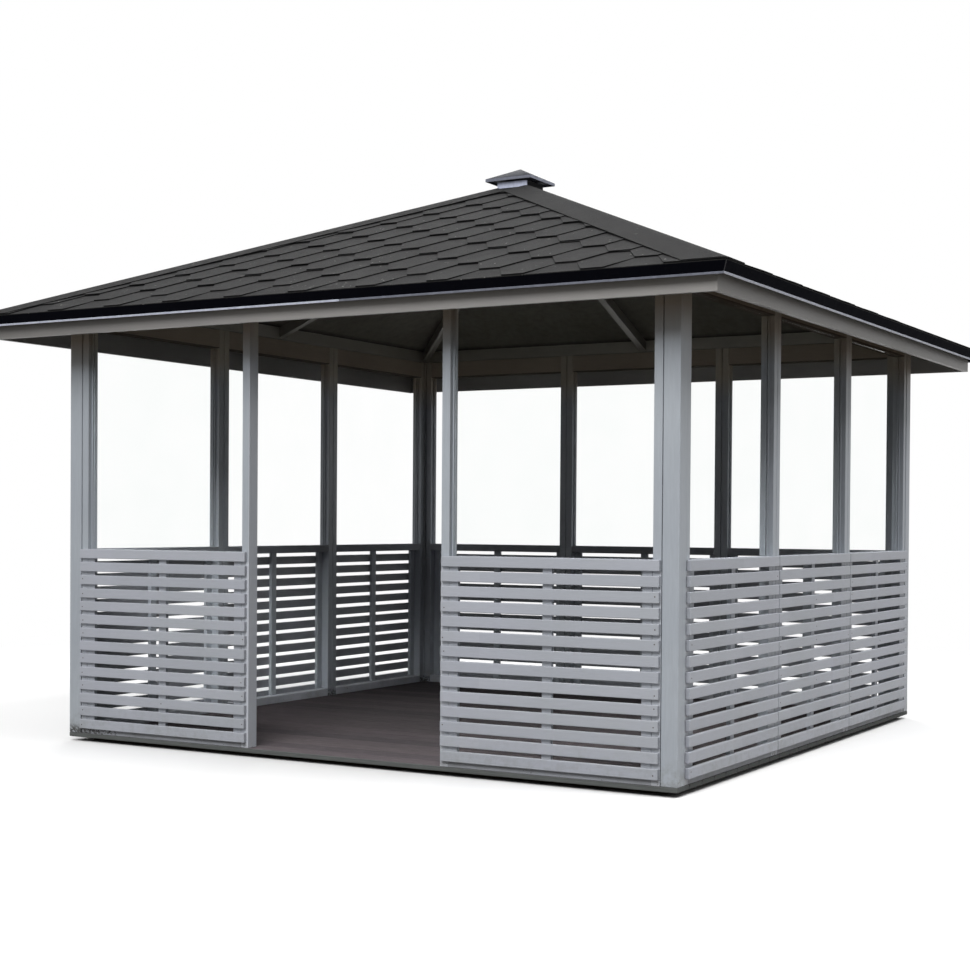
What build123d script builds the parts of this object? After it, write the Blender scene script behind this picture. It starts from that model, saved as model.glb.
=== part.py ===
# Garden gazebo: a square timber room with slatted parapets, glazed bays and a hipped roof.
# Millimetres. X runs along the front, Y towards the back and Z up from the ground.
# The doorway is the middle bay of the front wall, at -Y.
import math
import os
from build123d import *

# Plan
plan_width = 3090.0
post_side = 70.0
bays = 3
door_bay = 1

# Floor
bearer_height = 20.0
bearer_width = 60.0
bearer_inset = 80.0
bearer_count = 9
deck_thickness = 20.0

# Bay frames
stud_face = 40.0
stud_depth = 62.0
frame_setback = 3.0
bottom_rail_height = 40.0
head_rail_height = 96.0
headroom = 1986.0

# Slatted parapets
parapet_height = 860.0
slat_count = 14
slat_gap = 18.0
slat_floor_gap = 24.0
slat_thickness = 18.0
joint_reveal = 2.0
corner_reveal = 5.0
door_reveal = 10.0
batten_width = 44.0
batten_thickness = 18.0
batten_hold = 3.0

# Glass
glass_thickness = 4.0
glass_setback = 28.0

# Roof
roof_pitch = 22.5
plate_outer_height = 38.0
eave_half = 1845.0
boarding_thickness = 20.0
shingle_thickness = 10.0
rafter_width = 40.0
rafter_depth = 50.0
hub_side = 110.0
hub_drop = 60.0
fascia_setback = 58.0
fascia_thickness = 20.0
fascia_drop = 96.0
flashing_thickness = 2.0
flashing_height = 46.0
flashing_flange = 60.0
hip_cap_width = 130.0
hip_cap_thickness = 6.0

# Roof vent
collar_side = 168.0
collar_height = 30.0
collar_wall = 3.0
hood_side = 256.0
hood_edge = 14.0
hood_rise = 61.0

# Levels and plan lines that follow
deck_top = bearer_height + deck_thickness
plate_bottom = deck_top + headroom
parapet_top = deck_top + parapet_height
half_plan = plan_width / 2
post_line = half_plan - post_side
bay_width = 2 * post_line / bays
frame_outer = half_plan - frame_setback
frame_inner = frame_outer - stud_depth
opening_width = bay_width - 2 * stud_face
slat_field = parapet_height - slat_floor_gap
slat_height = (slat_field - (slat_count - 1) * slat_gap) / slat_count
slat_pitch = slat_height + slat_gap
sill_rail_height = slat_height - batten_hold

pitch = math.radians(roof_pitch)
slope = math.tan(pitch)
roof_layers = (shingle_thickness + boarding_thickness) / math.cos(pitch)
apex_height = plate_bottom + plate_outer_height + half_plan * slope + roof_layers
slope_length = eave_half / math.cos(pitch)
fascia_half = eave_half - fascia_setback
collar_half = collar_side / 2
collar_in = collar_half - collar_wall
collar_top = apex_height - collar_half * slope + collar_height
lid_bottom = collar_top - collar_wall

bay_names = {
    0: ("front_left", "front_door", "front_right"),
    1: ("right_front", "right_middle", "right_back"),
    2: ("back_right", "back_middle", "back_left"),
    3: ("left_back", "left_middle", "left_front"),
}
side_names = ("front", "right", "back", "left")

os.makedirs("parts", exist_ok=True)


def box(x0, x1, y0, y1, z0, z1):
    """A block between two corners."""
    solid = Box(x1 - x0, y1 - y0, z1 - z0)
    return solid.moved(Location(((x0 + x1) / 2, (y0 + y1) / 2, (z0 + z1) / 2)))


def turned(shape, side):
    """A shape of the front wall, turned to another side."""
    return shape.rotate(Axis.Z, 90 * side)


def slab_point(along, lift):
    """A point of the front slope: distance down from the apex, and lift off its top face."""
    out = along * math.cos(pitch) + lift * math.sin(pitch)
    up = apex_height - along * math.sin(pitch) + lift * math.cos(pitch)
    return (-out, up)


def profile_run(points, x0, x1):
    """A closed profile in Y and Z, run along X."""
    face = Plane.YZ.offset(x0) * make_face(Polyline(*points, close=True))
    return extrude(face, x1 - x0)


def front_wedge(reach):
    """The quarter of the plan that belongs to the front slope."""
    plan = make_face(Polyline((0, 0), (-reach, -reach), (reach, -reach), close=True))
    return extrude(plan, 2 * apex_height)


def under_roof(lift, reach):
    """The space below the four roof planes, at one lift off their top faces."""
    peak = apex_height + lift / math.cos(pitch)
    foot = peak - reach * slope
    outline = [(-reach, 0), (reach, 0), (reach, foot), (0, peak), (-reach, foot)]
    prism = profile_run(outline, -reach, reach)
    return prism & turned(prism, 1)


def save(name, shape):
    """Writes one named piece."""
    shape.label = name
    export_step(shape, f"parts/{name}.step")


def frame(side, bay):
    """The studs and rails of one bay."""
    left = -post_line + bay * bay_width
    right = left + bay_width
    y0 = -frame_outer
    y1 = -frame_inner
    studs = box(left, left + stud_face, y0, y1, deck_top, plate_bottom)
    studs += box(right - stud_face, right, y0, y1, deck_top, plate_bottom)
    for low, high in (
        (deck_top, deck_top + bottom_rail_height),
        (parapet_top - sill_rail_height, parapet_top),
        (plate_bottom - head_rail_height, plate_bottom),
    ):
        studs += box(left + stud_face, right - stud_face, y0, y1, low, high)
    return turned(studs, side)


def screen(side, bay):
    """The slats of one bay, and the battens behind them."""
    left = -post_line + bay * bay_width
    right = left + bay_width
    left_reveal = corner_reveal if bay == 0 else joint_reveal
    right_reveal = corner_reveal if bay == bays - 1 else joint_reveal
    if side == 0 and bay == door_bay - 1:
        right_reveal = door_reveal
    if side == 0 and bay == door_bay + 1:
        left_reveal = door_reveal
    y_face = -frame_outer
    batten_low = deck_top + bottom_rail_height
    batten_high = parapet_top - sill_rail_height
    middle = (left + right) / 2
    starts = (
        left + stud_face,
        middle - batten_width / 2,
        right - stud_face - batten_width,
    )
    solid = None
    for x0 in starts:
        batten = box(
            x0, x0 + batten_width, y_face, y_face + batten_thickness, batten_low, batten_high
        )
        solid = batten if solid is None else solid + batten
    for row in range(slat_count):
        low = parapet_top - slat_height - row * slat_pitch
        slat = box(
            left + left_reveal,
            right - right_reveal,
            y_face - slat_thickness,
            y_face,
            low,
            low + slat_height,
        )
        solid += slat
    return turned(solid, side)


def pane(side, bay):
    """The glass of one bay, between its studs, sill rail and head rail."""
    left = -post_line + bay * bay_width + stud_face
    y0 = -frame_outer + glass_setback
    glass = box(
        left,
        left + opening_width,
        y0,
        y0 + glass_thickness,
        parapet_top,
        plate_bottom - head_rail_height,
    )
    return turned(glass, side)


# Floor: a ring of bearers with joists across, and the deck on it
bearer_half = half_plan - bearer_inset
floor_frame = box(-bearer_half, bearer_half, -bearer_half, bearer_half, 0, bearer_height)
bearer_space = (2 * bearer_half - bearer_count * bearer_width) / (bearer_count - 1)
for gap in range(bearer_count - 1):
    x0 = -bearer_half + bearer_width + gap * (bearer_width + bearer_space)
    inner = bearer_half - bearer_width
    floor_frame -= box(x0, x0 + bearer_space, -inner, inner, 0, bearer_height)
save("floor_bearers", floor_frame)
save(
    "floor_deck",
    box(-half_plan, half_plan, -half_plan, half_plan, bearer_height, deck_top),
)

# Corner posts
for corner, (cx, cy) in {
    "front_left": (-1, -1),
    "front_right": (1, -1),
    "back_right": (1, 1),
    "back_left": (-1, 1),
}.items():
    xs = sorted((cx * half_plan, cx * post_line))
    ys = sorted((cy * half_plan, cy * post_line))
    save(f"corner_post_{corner}", box(*xs, *ys, deck_top, plate_bottom))

# Bay frames, slatted parapets and glass
for side in range(4):
    screens = []
    panes = []
    for bay in range(bays):
        if side == 0 and bay == door_bay:
            continue
        name = bay_names[side][bay]
        save(f"bay_frame_{name}", frame(side, bay))
        if side == 0:
            save(f"slat_screen_{name}", screen(side, bay))
            save(f"glass_{name}", pane(side, bay))
        else:
            screens.append(screen(side, bay))
            panes.append(pane(side, bay))
    if side > 0:
        save(f"slat_screen_{side_names[side]}", Compound(children=screens))
        save(f"glass_{side_names[side]}", Compound(children=panes))

# Wall plate on the frames, with its top cut to the pitch
boarding_under = -(shingle_thickness + boarding_thickness)
roof_reach = eave_half + 100
below_boarding = under_roof(boarding_under, roof_reach)
plate_space = apex_height
plate = box(-half_plan, half_plan, -half_plan, half_plan, plate_bottom, plate_space)
plate -= box(-frame_inner, frame_inner, -frame_inner, frame_inner, 0, plate_space)
plate &= below_boarding
save("wall_plate", plate)

# Rafters from the plate to a hub under the apex
rafter_lift = boarding_under - rafter_depth
below_rafters = under_roof(rafter_lift, roof_reach)
rafter_space = below_boarding - below_rafters
straight = box(-rafter_width / 2, rafter_width / 2, -frame_inner, 0, 0, apex_height)
diagonal_reach = frame_inner * math.sqrt(2) + rafter_width
diagonal = box(-rafter_width / 2, rafter_width / 2, -diagonal_reach, 0, 0, apex_height)
inside = box(-frame_inner, frame_inner, -frame_inner, frame_inner, 0, apex_height)
arms = None
for side in range(4):
    arm = turned(straight, side) + diagonal.rotate(Axis.Z, 90 * side + 45)
    arms = arm if arms is None else arms + arm
rafters = arms & inside & rafter_space
hub_top = apex_height
hub_low = apex_height - (roof_layers + rafter_depth / math.cos(pitch)) - hub_drop
hub = box(-hub_side / 2, hub_side / 2, -hub_side / 2, hub_side / 2, hub_low, hub_top)
rafters += hub & below_boarding
save("roof_rafters", rafters)

# Boarding and shingles of each slope, mitred at the hips
wedge = front_wedge(roof_reach)
board_points = [
    slab_point(0, -shingle_thickness),
    slab_point(slope_length, -shingle_thickness),
    slab_point(slope_length, boarding_under),
    slab_point(0, boarding_under),
]
shingle_points = [
    slab_point(0, 0),
    slab_point(slope_length + flashing_thickness, 0),
    slab_point(slope_length + flashing_thickness, flashing_thickness - shingle_thickness),
    slab_point(slope_length - flashing_flange, flashing_thickness - shingle_thickness),
    slab_point(slope_length - flashing_flange, -shingle_thickness),
    slab_point(0, -shingle_thickness),
]
boarding = profile_run(board_points, -roof_reach, roof_reach) & wedge
shingles = profile_run(shingle_points, -roof_reach, roof_reach) & wedge
shingles -= box(-collar_in, collar_in, -collar_in, collar_in, lid_bottom, 2 * apex_height)
for side in range(4):
    save(f"roof_boarding_{side_names[side]}", turned(boarding, side))
    save(f"shingles_{side_names[side]}", turned(shingles, side))

# Fascia under the boarding, mitred round the corners
fascia_top = apex_height
fascia_bottom = apex_height - roof_layers - fascia_half * slope - fascia_drop
fascia = box(-fascia_half, fascia_half, -fascia_half, fascia_half, fascia_bottom, fascia_top)
fascia_in = fascia_half - fascia_thickness
fascia -= box(-fascia_in, fascia_in, -fascia_in, fascia_in, 0, fascia_top)
fascia &= below_boarding
save("fascia", fascia)

# Eave flashing: a flange under the shingles and a face square to the slope
flashing_low = -shingle_thickness - flashing_height
flashing_points = [
    slab_point(slope_length - flashing_flange, flashing_thickness - shingle_thickness),
    slab_point(slope_length + flashing_thickness, flashing_thickness - shingle_thickness),
    slab_point(slope_length + flashing_thickness, flashing_low),
    slab_point(slope_length, flashing_low),
    slab_point(slope_length, -shingle_thickness),
    slab_point(slope_length - flashing_flange, -shingle_thickness),
]
flashing_side = profile_run(flashing_points, -roof_reach, roof_reach) & wedge
flashing = flashing_side
for side in range(1, 4):
    flashing += turned(flashing_side, side)
save("eave_flashing", flashing)

# Hip caps: strips bent over each hip, from the vent collar to the eave
cap_start = collar_side / 2
cap_offset = hip_cap_width * math.sqrt(1 + 1 / math.cos(pitch) ** 2) * math.cos(pitch)
cap_points = [
    slab_point(0, hip_cap_thickness),
    slab_point(slope_length, hip_cap_thickness),
    slab_point(slope_length, 0),
    slab_point(0, 0),
]
cap_slab = profile_run(cap_points, -roof_reach, roof_reach) & wedge
band = make_face(
    Polyline(
        (cap_offset / 2, -cap_offset / 2),
        (roof_reach, -roof_reach),
        (roof_reach - cap_offset, -roof_reach),
        (0, -cap_offset),
        close=True,
    )
)
cap_front = cap_slab & extrude(band, 2 * apex_height)
mirrored = cap_front.mirror(Plane.YZ).rotate(Axis.Z, 90)
hip_cap = cap_front + mirrored
for side, corner in enumerate(("front_right", "back_right", "back_left", "front_left")):
    save(f"hip_cap_{corner}", turned(hip_cap, side))

# Roof vent: a square collar on the roof and a low hood on it
collar = box(-collar_half, collar_half, -collar_half, collar_half, 0, collar_top)
collar -= box(-collar_in, collar_in, -collar_in, collar_in, 0, collar_top)
collar -= under_roof(0, roof_reach)
collar += box(-collar_half, collar_half, -collar_half, collar_half, lid_bottom, collar_top)
save("vent_collar", collar)
hood_half = hood_side / 2
hood = box(-hood_half, hood_half, -hood_half, hood_half, collar_top, collar_top + hood_edge)
hood_roof = hood_rise / hood_half
hood_low = collar_top + hood_edge
hood_peak = hood_low + hood_rise
hood_outline = [(-hood_half, hood_low), (hood_half, hood_low), (0, hood_peak)]
hood_prism = profile_run(hood_outline, -hood_half, hood_half)
hood += hood_prism & turned(hood_prism, 1)
save("vent_hood", hood)
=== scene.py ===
"""Garden gazebo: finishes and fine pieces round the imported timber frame."""

import math
import random

import bmesh
import bpy
from bpy.props import FloatProperty, FloatVectorProperty, IntProperty, PointerProperty
from mathutils import Matrix, Vector


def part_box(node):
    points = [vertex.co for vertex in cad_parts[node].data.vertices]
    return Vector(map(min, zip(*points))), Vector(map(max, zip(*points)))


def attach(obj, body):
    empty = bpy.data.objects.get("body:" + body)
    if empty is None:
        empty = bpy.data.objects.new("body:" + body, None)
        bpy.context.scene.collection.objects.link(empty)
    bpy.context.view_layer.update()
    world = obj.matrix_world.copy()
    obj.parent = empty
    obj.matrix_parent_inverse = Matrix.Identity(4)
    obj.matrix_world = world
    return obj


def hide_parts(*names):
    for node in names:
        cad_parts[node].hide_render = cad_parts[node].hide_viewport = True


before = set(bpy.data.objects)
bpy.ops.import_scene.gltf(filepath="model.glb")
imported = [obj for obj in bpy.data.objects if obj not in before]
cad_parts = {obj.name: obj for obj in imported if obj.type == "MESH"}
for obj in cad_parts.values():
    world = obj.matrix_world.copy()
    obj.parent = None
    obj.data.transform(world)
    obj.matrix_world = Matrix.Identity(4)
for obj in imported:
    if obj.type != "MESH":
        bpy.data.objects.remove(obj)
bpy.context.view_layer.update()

bl_info = {
    "name": "Garden gazebo",
    "version": (1, 0, 0),
    "blender": (4, 5, 0),
    "location": "View3D > Sidebar > Gazebo",
    "description": "Makes the slats, shingles, boards, beads and finishes of a garden gazebo",
    "category": "Object",
}

DECK_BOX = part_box("floor_deck")
POST_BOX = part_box("corner_post_front_right")
FRAME_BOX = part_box("bay_frame_front_right")
SCREEN_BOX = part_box("slat_screen_front_right")
GLASS_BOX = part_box("glass_front_right")
SHINGLE_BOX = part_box("shingles_front")
HOOD_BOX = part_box("vent_hood")
COLLAR_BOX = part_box("vent_collar")

PLAN_HALF = POST_BOX[1][0]
POST_LINE = POST_BOX[0][0]
FRAME_OUTER = -FRAME_BOX[0][1]
FRAME_INNER = -FRAME_BOX[1][1]
DECK_TOP = DECK_BOX[1][2]
PLATE_BOTTOM = FRAME_BOX[1][2]
PARAPET_TOP = SCREEN_BOX[1][2]
SLAT_LOW = SCREEN_BOX[0][2]
SLAT_FACE = -SCREEN_BOX[0][1]
BAYS = 3
DOOR_BAY = 1
BAY_WIDTH = 2 * POST_LINE / BAYS
SIDES = ("front", "right", "back", "left")
SLAT_SEED, NAIL_SEED, SHINGLE_SEED, CAP_SEED = 14, 5, 31, 71
BAY_NAMES = (
    ("front_left", "front_door", "front_right"),
    ("right_front", "right_middle", "right_back"),
    ("back_right", "back_middle", "back_left"),
    ("left_back", "left_middle", "left_front"),
)
CORNERS = ("front_right", "back_right", "back_left", "front_left")

# The roof: its shape, then the small sizes of shingles, caps, flashing and vent.
PITCH = math.radians(22.5)
DIAGONAL = math.sqrt(0.5)
SHINGLE_SLAB = 0.010
HALF_EAVE = -SHINGLE_BOX[0][1]
SLOPE_LENGTH = HALF_EAVE / math.cos(PITCH)
ROOF_APEX = SHINGLE_BOX[0][2] + SHINGLE_SLAB * math.cos(PITCH) + HALF_EAVE * math.tan(PITCH)
ROOF_TRIM = 0.0015
STRIP_TABS = 3
SIDE_SHIFT = 0.1
TAB_RISE, TAB_SPIN, TAB_SLIDE = (-0.0003, 0.0009), 0.0016, 0.0035
HEAD_LAP, STARTER_LAP, STARTER_LOW = 0.008, 0.02, -0.0095
TAB_LIFT, EAVE_SLIDE, VENT_TUCK = 0.0012, -0.0005, 0.004
CAP_LIFT, CAP_START, CAP_OVERRUN = 0.0034, 0.002, 0.20
CAP_SPREAD = (-0.005, 0.004)
CAP_EDGE = ((1.0, 0.0), (0.5, 0.0004), (0.12, 0.0006), (0.035, -0.0006))
CAP_PROFILE = (
    *((-share, rise) for share, rise in CAP_EDGE),
    (0.0, -0.0016),
    *reversed(CAP_EDGE),
)
FLASHING_TOP, FLASHING_LAP, LAP_OUT = -0.0082, 0.02, 0.0007
SHEET, SEAM, FLANGE = 0.0010, 0.0001, 0.05
HEM_BACK, HEM_FACE, HEM_ARRIS, HEM_LAP = 0.0012, 0.0014, 0.0008, 0.4
FLASHING_LAPS = (0.18, 0.9, -0.4, 0.35)
HOOD_EDGE, HOOD_SHEET, HOOD_FOLD, HOOD_ARRIS = 0.014, 0.003, 0.001, 0.0016
MESH_INSET, MESH_OUT, MESH_IN = 0.003, 0.0015, 0.0005
MESH_FOOT, MESH_HEAD = 0.004, 0.001

# The walls' small sizes, and how far slats and nails stray.
SMALL_ARRIS = 0.0015
SLAT_ARRIS = 0.0026
BOARD_ARRIS = 0.0025
BATTEN_PLAY = 0.0008
TONE_RUN = 0.983
DOOR_REVEAL, CORNER_REVEAL, BAY_REVEAL = 0.010, 0.005, 0.002
SLAT_WOBBLE, SLAT_TRIM, SLAT_LEAN = 0.0010, 0.0022, 0.0009
NAIL_INSET, NAIL_PROUD, NAIL_DEPTH = 0.024, 0.0012, 0.0030
NAIL_FOOT, NAIL_HEAD = 0.0032, 0.0026
NAIL_STRAY_X, NAIL_STRAY_Z, MIDDLE_STRAY = 0.004, 0.006, 0.01
NAIL_SHARE, MIDDLE_SHARE = 0.34, 0.12

# The stage: lamps as name, place and watts, then the floor, the sky and the camera.
LAMPS = (
    ("soft_front", (1.55, -8.8, 7.9), 830.0),
    ("soft_side", (6.4, -0.5, 11.3), 910.0),
    ("soft_back", (-5.5, 7.5, 6.0), 400.0),
)
LAMP_AIM = (0, 0, 1.2)
LAMP_SIZE = 6.0
FLOOR_HALF = 60.0
FLOOR_FADE = (2.2, 6.5)
SKY_RISE = (0.08, 1.0)
SKY_LIGHT = (0.02, 0.95)
WHITE = (1.0, 1.0, 1.0, 1.0)
EYE = (4.0446, -7.3405, 1.0420)
YAW_PITCH_ROLL = (30.0601, -0.8324, 0.3945)
LENS = 61.862
LENS_SHIFT = (0.00241, 0.0623)


def length_prop(name, description, default):
    """A length that a user can change."""
    return FloatProperty(name=name, description=description, default=default, unit="LENGTH")


def colour_prop(name, description, default):
    """A colour that a user can change."""
    return FloatVectorProperty(
        name=name, description=description, default=default, subtype="COLOR"
    )


class GazeboWallSizes(bpy.types.PropertyGroup):
    """Sizes of the walls' timber, slats and beads."""

    stud_face: length_prop("Stud face", "Width of a stud's face", 0.040)
    rail_low: length_prop("Bottom rail", "Height of the bottom rail", 0.040)
    rail_sill: length_prop("Sill rail", "Height of the rail under the glass", 0.040)
    rail_head: length_prop("Head rail", "Height of the rail over the glass", 0.096)
    arris: length_prop("Arris", "Width of the rounded timber edges", 0.0022)
    slat_count: IntProperty(
        name="Slats", description="Slats in each parapet", default=14, min=2
    )
    slat_gap: length_prop("Slat gap", "Gap between two slats", 0.018)
    batten_width: length_prop("Batten width", "Face width of an upright batten", 0.044)
    batten_thickness: length_prop("Batten thickness", "Depth of an upright batten", 0.018)
    bead: length_prop("Glazing bead", "Side of the bead beside each pane", 0.007)
    joint: length_prop("Joint", "Open joint left between neighbouring timbers", 0.0018)
    board_width: length_prop("Deck board", "Width of a deck board with its gap", 0.1236)
    board_gap: length_prop("Board gap", "Gap between two deck boards", 0.004)


class GazeboRoofSizes(bpy.types.PropertyGroup):
    """Sizes of the roof covering, the eave flashing and the vent."""

    tab_pitch: length_prop("Tab pitch", "Distance between two shingle tabs", 0.3333)
    exposure: length_prop("Exposure", "Visible depth of a course", 0.1278)
    tab_bottom: length_prop("Tab bottom", "Width of a tab's lower edge", 0.0927)
    felt: length_prop("Shingle thickness", "Thickness of a shingle", 0.0045)
    first_tab: length_prop("First tab", "Shift of the eave course along the slope", -0.016)
    cap_width: length_prop("Hip cap", "Width of a hip cap on each slope", 0.130)
    hem: length_prop("Hem", "Height of the bare hem under the flashing", 0.009)
    cap_thickness: length_prop("Cap thickness", "Thickness of a hip cap", 0.0052)


class GazeboColours(bpy.types.PropertyGroup):
    """Main colours of the finishes."""

    paint: colour_prop("Paint", "Off-white paint of the walls", (0.445, 0.465, 0.515))
    fascia: colour_prop("Fascia", "Paint of the fascia", (0.302, 0.292, 0.284))
    # The ceiling colour is painted shade: dark for the deep shade under the roof.
    ceiling: colour_prop("Ceiling", "Stain of the boarding under the roof", (0.123, 0.116, 0.098))
    shingle: colour_prop("Shingle", "Mineral face of the shingles", (0.0245, 0.0245, 0.0249))
    flashing: colour_prop("Flashing", "Paint of the eave flashing", (0.0022, 0.0024, 0.0042))
    bare_metal: colour_prop("Bare metal", "Sheet of the vent and the hem", (0.16, 0.17, 0.21))
    deck: colour_prop("Deck", "Weathered deck boards", (0.079, 0.068, 0.0735))


def ease(bm, edges, width):
    """Rounds edges over."""
    return bmesh.ops.bevel(
        bm,
        geom=edges,
        offset=width,
        offset_type="OFFSET",
        segments=2,
        profile=0.5,
        affect="EDGES",
        material=-1,
    )


def block(bm, low, high, arris=0.0, slot=0):
    """A block between two corners, with its edges eased."""
    verts = bmesh.ops.create_cube(bm, size=1.0)["verts"]
    bmesh.ops.scale(bm, vec=Vector(high) - Vector(low), verts=verts)
    bmesh.ops.translate(bm, vec=(Vector(high) + Vector(low)) / 2, verts=verts)
    for face in {face for vert in verts for face in vert.link_faces}:
        face.material_index = slot
    if arris > 0:
        eased = ease(bm, list({edge for vert in verts for edge in vert.link_edges}), arris)
        verts = {vert for face in eased["faces"] for vert in face.verts}
        verts = list({v for vert in verts for face in vert.link_faces for v in face.verts})
    return verts


def side_turn(side):
    """The turn from the front wall to another side."""
    return Matrix.Rotation(math.radians(90 * side), 4, "Z")


def turn_to(bm, side, start=0):
    """Turns what was built at the front, from one vertex on, to another side."""
    bm.verts.ensure_lookup_table()
    bmesh.ops.transform(bm, matrix=side_turn(side), verts=bm.verts[start:])


def mesh_of(name, bm):
    """Turns finished work into a mesh."""
    mesh = bpy.data.meshes.new(name)
    bm.to_mesh(mesh)
    bm.free()
    return mesh


def placed(name, data):
    """Adds an object to the scene."""
    made = bpy.data.objects.new(name, data)
    bpy.context.scene.collection.objects.link(made)
    return made


def piece(name, bm, finishes, replaced=(), smooth=False):
    """Makes an object of finished work and hangs it on the frame."""
    mesh = mesh_of(name, bm)
    for finish in finishes:
        mesh.materials.append(finish_of(finish))
    if smooth:
        mesh.shade_smooth()
        mesh.set_sharp_from_angle(angle=math.radians(35))
    made = placed(name, mesh)
    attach(made, "root")
    if replaced:
        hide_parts(*replaced)


class Graph:
    """A short way to write the nodes of a material or of the world."""

    def __init__(self, owner, shader, output, coords):
        owner.use_nodes = True
        self.tree = owner.node_tree
        self.shader = self.tree.nodes[shader]
        self.output = self.tree.nodes[output]
        self.coords = self.put("ShaderNodeTexCoord").outputs[coords]

    def put(self, kind, inputs=None, **settings):
        """Adds a node with its settings and inputs."""
        node = self.tree.nodes.new(kind)
        for key, value in settings.items():
            setattr(node, key, value)
        for key, value in (inputs or {}).items():
            self.feed(node, key, value)
        return node

    def feed(self, node, key, value):
        """Links an input to a socket, or sets it to a value."""
        socket = node.inputs[key]
        if isinstance(value, bpy.types.NodeSocket):
            self.tree.links.new(value, socket)
        else:
            socket.default_value = value

    def math(self, kind, one, two=0.0):
        """One operation on two values."""
        return self.put("ShaderNodeMath", {0: one, 1: two}, operation=kind).outputs[0]

    def times(self, product, *factors):
        """The product of values."""
        for factor in factors:
            product = self.math("MULTIPLY", product, factor)
        return product

    def part(self, axis, vector=None):
        """One axis of a place or a colour."""
        node = self.put("ShaderNodeSeparateXYZ", {"Vector": vector or self.coords})
        return node.outputs[axis]

    def step(self, value, start, full, low=0.0, high=1.0):
        """Rises from low to high while a value goes from its start to full."""
        limits = {"From Min": start, "From Max": full, "To Min": low, "To Max": high}
        return self.put("ShaderNodeMapRange", {"Value": value, **limits}).outputs["Result"]

    def mask(self, *limits):
        """The product of steps, each given as a value, its start and where it is full."""
        return self.times(*(self.step(*limit) for limit in limits))

    def blend(self, fac, one, two):
        """A shader between two others."""
        return self.put("ShaderNodeMixShader", {0: fac, 1: one.outputs[0], 2: two.outputs[0]})

    def show(self, shader):
        """Puts a shader on the output."""
        self.feed(self.output, "Surface", shader.outputs[0])

    def view_rays(self):
        """1 where the view meets a surface, straight or through glass or gloss."""
        path = self.put("ShaderNodeLightPath").outputs
        rays = self.math("MAXIMUM", path["Is Camera Ray"], path["Is Glossy Ray"])
        rays = self.math("MAXIMUM", rays, path["Is Transmission Ray"])
        return self.times(rays, self.math("LESS_THAN", path["Diffuse Depth"], 0.5))


class Nodes(Graph):
    """The nodes of a new material."""

    def __init__(self, name):
        self.material = bpy.data.materials.new(name)
        super().__init__(self.material, "Principled BSDF", "Material Output", "Object")

    def noise(self, scale, detail, rough, stretch=None, distortion=0.0):
        """Uneven spots, drawn out along the axes with a small stretch."""
        place = self.coords
        if stretch:
            place = self.put("ShaderNodeMapping", {"Vector": place, "Scale": stretch}).outputs[0]
        inputs = {"Vector": place, "Scale": scale, "Detail": detail, "Roughness": rough}
        inputs["Distortion"] = distortion
        return self.put("ShaderNodeTexNoise", inputs).outputs["Fac"]

    def count(self, value, start, pitch):
        """Numbers the rows of one pitch."""
        from_start = self.math("SUBTRACT", value, start)
        return self.math("FLOOR", self.math("DIVIDE", from_start, pitch))

    def toss(self, seed):
        """A random value for each whole number."""
        node = self.put("ShaderNodeTexWhiteNoise", {"W": seed}, noise_dimensions="1D")
        return node.outputs["Value"]

    def plan(self, kind):
        """One operation on the distances from the middle along X and Y."""
        return self.math(kind, *(self.math("ABSOLUTE", self.part(axis)) for axis in "XY"))

    def ramp(self, fac, *stops):
        """Colours, or greys given as one number, along a value."""
        node = self.put("ShaderNodeValToRGB", {"Fac": fac})
        ends = node.color_ramp.elements
        while len(ends) < len(stops):
            ends.new(0.5)
        for end, (at, colour) in zip(ends, stops):
            end.position = at
            parts = colour if isinstance(colour, tuple) else (colour,) * 3
            end.color = (*parts, 1.0)
        return node.outputs["Color"]

    def grained(self, fac, colour, dark, light):
        """A colour made darker and lighter along a value."""
        return self.ramp(fac, (0.3, shade(colour, dark)), (0.7, shade(colour, light)))

    def mix(self, fac, one, two, blend="MIX"):
        """A colour between two others."""
        node = self.put("ShaderNodeMix", {0: fac}, data_type="RGBA", blend_type=blend)
        for key, value in ((6, one), (7, two)):
            self.feed(node, key, (*value, 1.0) if isinstance(value, tuple) else value)
        return node.outputs[2]

    def tint(self, base, fac, *stops):
        """Multiplies a colour by the colours along a value."""
        return self.mix(1.0, base, self.ramp(fac, *stops), "MULTIPLY")

    def stain(self, base, mask, amount, colour):
        """Lays some of a second colour over the first inside a mask."""
        return self.mix(self.times(mask, amount), base, colour)

    def bump(self, height, strength, distance, normal=None):
        """Relief on the surface, over another relief if one is given."""
        inputs = {"Height": height, "Strength": strength, "Distance": distance}
        if normal:
            inputs["Normal"] = normal
        return self.put("ShaderNodeBump", inputs).outputs["Normal"]

    def finish(self, colour, rough, normal=None, **sockets):
        """Feeds the shader's inputs and gives the material."""
        sockets.update(Base_Color=colour, Roughness=rough)
        if normal:
            sockets["Normal"] = normal
        for key, value in sockets.items():
            self.feed(self.shader, key.replace("_", " "), value)
        return self.material


def shade(colour, factor):
    """A colour made lighter or darker."""
    return tuple(min(1.0, part * factor) for part in colour)


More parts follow.
